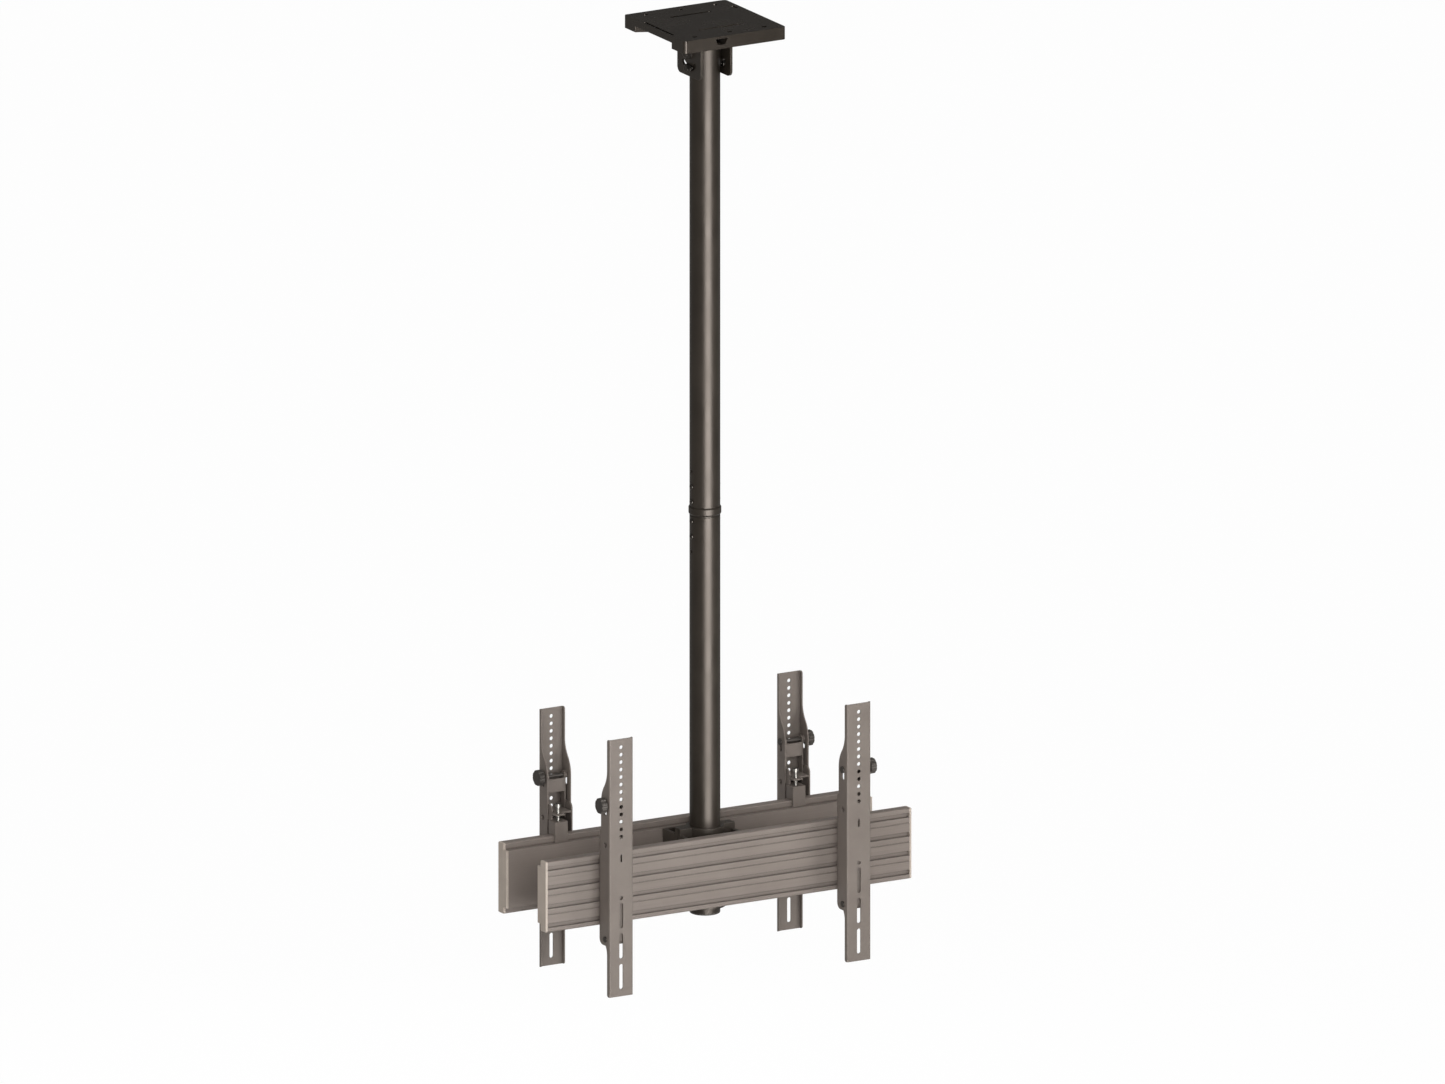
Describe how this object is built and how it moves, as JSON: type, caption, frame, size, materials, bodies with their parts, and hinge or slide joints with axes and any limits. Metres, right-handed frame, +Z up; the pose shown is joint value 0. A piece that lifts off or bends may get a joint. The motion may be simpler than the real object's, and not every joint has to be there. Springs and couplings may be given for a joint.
{
  "type": "tv ceiling mount",
  "caption": "Double-sided ceiling mount: tilting plate and tubular pole, clamp with grooved rails front and back, and hook-on strips that slide, level and tilt to carry screens.",
  "frame": {"origin": "centre of the ceiling plate's top face, which lies on the ceiling", "axes": "+Z up into the ceiling, the pole hangs along -Z; +X along the rails; -Y is the front side"},
  "size_m": [0.684, 0.228, 1.578],
  "materials": {
    "black_coat": "satin",
    "grey_coat": "satin",
    "coated_aluminium": "satin coat",
    "black_aluminium": "satin coat",
    "zinc_steel": "zinc",
    "black_steel": "blackened",
    "black_plastic": "matt",
    "grey_plastic": "matt"
  },
  "bodies": {
    "ceiling": {"ceiling_plate": "black_coat", "tilt_bracket": "black_coat", "pivot_bolt": "black_steel", "pivot_nut_and_washers": "black_steel"},
    "pole": {"upper_pole": "black_coat", "joint_sleeve": "black_coat", "joint_screws": "black_steel", "lower_pole": "black_coat", "pole_end_ring": "black_plastic", "lock_bolt": "black_steel", "lock_nut_and_washers": "black_steel"},
    "collar": {"support_collar": "black_coat", "collar_screw": "black_steel"},
    "rails": {"front_clamp_half": "black_aluminium", "rear_clamp_half": "black_aluminium", "clamp_bolts": "black_steel", "clamp_nuts": "black_steel", "rail_screws": "black_steel", "front_rail": "coated_aluminium", "rear_rail": "coated_aluminium", "front_left_end_cap": "grey_plastic", "front_right_end_cap": "grey_plastic", "rear_left_end_cap": "grey_plastic", "rear_right_end_cap": "grey_plastic"},
    "front_left_saddle": {"front_left_rail_saddle": "grey_coat"},
    "front_left_bracket": {"front_left_hook_bracket": "grey_coat", "front_left_hinge_pins": "black_steel"},
    "front_left_screw": {"front_left_levelling_screw": "zinc_steel"},
    "front_left_strip": {"front_left_screen_strip": "grey_coat"},
    "front_left_stay": {"front_left_tilt_stay": "grey_coat"},
    "front_left_knob": {"front_left_tilt_knob": "black_plastic"},
    "front_right_saddle": {"front_right_rail_saddle": "grey_coat"},
    "front_right_bracket": {"front_right_hook_bracket": "grey_coat", "front_right_hinge_pins": "black_steel"},
    "front_right_screw": {"front_right_levelling_screw": "zinc_steel"},
    "front_right_strip": {"front_right_screen_strip": "grey_coat"},
    "front_right_stay": {"front_right_tilt_stay": "grey_coat"},
    "front_right_knob": {"front_right_tilt_knob": "black_plastic"},
    "rear_left_saddle": {"rear_left_rail_saddle": "grey_coat"},
    "rear_left_bracket": {"rear_left_hook_bracket": "grey_coat", "rear_left_hinge_pins": "black_steel"},
    "rear_left_screw": {"rear_left_levelling_screw": "zinc_steel"},
    "rear_left_strip": {"rear_left_screen_strip": "grey_coat"},
    "rear_left_stay": {"rear_left_tilt_stay": "grey_coat"},
    "rear_left_knob": {"rear_left_tilt_knob": "black_plastic"},
    "rear_right_saddle": {"rear_right_rail_saddle": "grey_coat"},
    "rear_right_bracket": {"rear_right_hook_bracket": "grey_coat", "rear_right_hinge_pins": "black_steel"},
    "rear_right_screw": {"rear_right_levelling_screw": "zinc_steel"},
    "rear_right_strip": {"rear_right_screen_strip": "grey_coat"},
    "rear_right_stay": {"rear_right_tilt_stay": "grey_coat"},
    "rear_right_knob": {"rear_right_tilt_knob": "black_plastic"}
  },
  "joints": [
    {"name": "pole_tilt", "type": "hinge", "parent": "ceiling", "child": "pole", "pos_m": [0, 0, -0.05], "axis": [1, 0, 0], "range_deg": [-45, 45]},
    {"name": "clamp_height", "type": "slide", "parent": "pole", "child": "collar", "axis": [0, 0, 1], "range_m": [0, 0.4]},
    {"name": "clamp_swivel", "type": "hinge", "parent": "collar", "child": "rails", "pos_m": [0, 0, -1.4055], "axis": [0, 0, 1], "continuous": true},
    {"name": "front_left_slide", "type": "slide", "parent": "rails", "child": "front_left_saddle", "axis": [1, 0, 0], "range_m": [-0.095, 0.15]},
    {"name": "front_left_level", "type": "slide", "parent": "front_left_saddle", "child": "front_left_bracket", "axis": [0, 0, 1], "range_m": [-0.006, 0.008]},
    {"name": "front_left_screw_turn", "type": "hinge", "parent": "front_left_saddle", "child": "front_left_screw", "pos_m": [-0.209, -0.06825, -1.3], "axis": [0, 0, 1], "range_deg": [-1730, 2305]},
    {"name": "front_left_tilt", "type": "hinge", "parent": "front_left_bracket", "child": "front_left_strip", "pos_m": [-0.222, -0.101, -1.483], "axis": [1, 0, 0], "range_deg": [0, 12]},
    {"name": "front_left_stay_turn", "type": "hinge", "parent": "front_left_bracket", "child": "front_left_stay", "pos_m": [-0.222, -0.101, -1.325], "axis": [1, 0, 0], "range_deg": [0, 41.5]},
    {"name": "front_left_knob_turn", "type": "hinge", "parent": "front_left_stay", "child": "front_left_knob", "pos_m": [-0.222, -0.101, -1.258], "axis": [-1, 0, 0], "continuous": true},
    {"name": "front_right_slide", "type": "slide", "parent": "rails", "child": "front_right_saddle", "axis": [1, 0, 0], "range_m": [-0.15, 0.095]},
    {"name": "front_right_level", "type": "slide", "parent": "front_right_saddle", "child": "front_right_bracket", "axis": [0, 0, 1], "range_m": [-0.006, 0.008]},
    {"name": "front_right_screw_turn", "type": "hinge", "parent": "front_right_saddle", "child": "front_right_screw", "pos_m": [0.235, -0.06825, -1.3], "axis": [0, 0, 1], "range_deg": [-1730, 2305]},
    {"name": "front_right_tilt", "type": "hinge", "parent": "front_right_bracket", "child": "front_right_strip", "pos_m": [0.222, -0.101, -1.483], "axis": [1, 0, 0], "range_deg": [0, 12]},
    {"name": "front_right_stay_turn", "type": "hinge", "parent": "front_right_bracket", "child": "front_right_stay", "pos_m": [0.222, -0.101, -1.325], "axis": [1, 0, 0], "range_deg": [0, 41.5]},
    {"name": "front_right_knob_turn", "type": "hinge", "parent": "front_right_stay", "child": "front_right_knob", "pos_m": [0.222, -0.101, -1.258], "axis": [1, 0, 0], "continuous": true},
    {"name": "rear_left_slide", "type": "slide", "parent": "rails", "child": "rear_left_saddle", "axis": [1, 0, 0], "range_m": [-0.095, 0.15]},
    {"name": "rear_left_level", "type": "slide", "parent": "rear_left_saddle", "child": "rear_left_bracket", "axis": [0, 0, 1], "range_m": [-0.006, 0.008]},
    {"name": "rear_left_screw_turn", "type": "hinge", "parent": "rear_left_saddle", "child": "rear_left_screw", "pos_m": [-0.235, 0.06825, -1.3], "axis": [0, 0, 1], "range_deg": [-1730, 2305]},
    {"name": "rear_left_tilt", "type": "hinge", "parent": "rear_left_bracket", "child": "rear_left_strip", "pos_m": [-0.222, 0.101, -1.483], "axis": [-1, 0, 0], "range_deg": [0, 12]},
    {"name": "rear_left_stay_turn", "type": "hinge", "parent": "rear_left_bracket", "child": "rear_left_stay", "pos_m": [-0.222, 0.101, -1.325], "axis": [-1, 0, 0], "range_deg": [0, 41.5]},
    {"name": "rear_left_knob_turn", "type": "hinge", "parent": "rear_left_stay", "child": "rear_left_knob", "pos_m": [-0.222, 0.101, -1.258], "axis": [-1, 0, 0], "continuous": true},
    {"name": "rear_right_slide", "type": "slide", "parent": "rails", "child": "rear_right_saddle", "axis": [1, 0, 0], "range_m": [-0.15, 0.095]},
    {"name": "rear_right_level", "type": "slide", "parent": "rear_right_saddle", "child": "rear_right_bracket", "axis": [0, 0, 1], "range_m": [-0.006, 0.008]},
    {"name": "rear_right_screw_turn", "type": "hinge", "parent": "rear_right_saddle", "child": "rear_right_screw", "pos_m": [0.209, 0.06825, -1.3], "axis": [0, 0, 1], "range_deg": [-1730, 2305]},
    {"name": "rear_right_tilt", "type": "hinge", "parent": "rear_right_bracket", "child": "rear_right_strip", "pos_m": [0.222, 0.101, -1.483], "axis": [-1, 0, 0], "range_deg": [0, 12]},
    {"name": "rear_right_stay_turn", "type": "hinge", "parent": "rear_right_bracket", "child": "rear_right_stay", "pos_m": [0.222, 0.101, -1.325], "axis": [-1, 0, 0], "range_deg": [0, 41.5]},
    {"name": "rear_right_knob_turn", "type": "hinge", "parent": "rear_right_stay", "child": "rear_right_knob", "pos_m": [0.222, 0.101, -1.258], "axis": [1, 0, 0], "continuous": true}
  ],
  "couplings": [
    {"joint": "front_left_screw_turn", "follows": "front_left_level", "rad_per_m": 5026.5},
    {"joint": "front_left_stay_turn", "follows": "front_left_tilt", "ratio": 3.42},
    {"joint": "front_right_screw_turn", "follows": "front_right_level", "rad_per_m": 5026.5},
    {"joint": "front_right_stay_turn", "follows": "front_right_tilt", "ratio": 3.42},
    {"joint": "rear_left_screw_turn", "follows": "rear_left_level", "rad_per_m": 5026.5},
    {"joint": "rear_left_stay_turn", "follows": "rear_left_tilt", "ratio": 3.42},
    {"joint": "rear_right_screw_turn", "follows": "rear_right_level", "rad_per_m": 5026.5},
    {"joint": "rear_right_stay_turn", "follows": "rear_right_tilt", "ratio": 3.42}
  ]
}
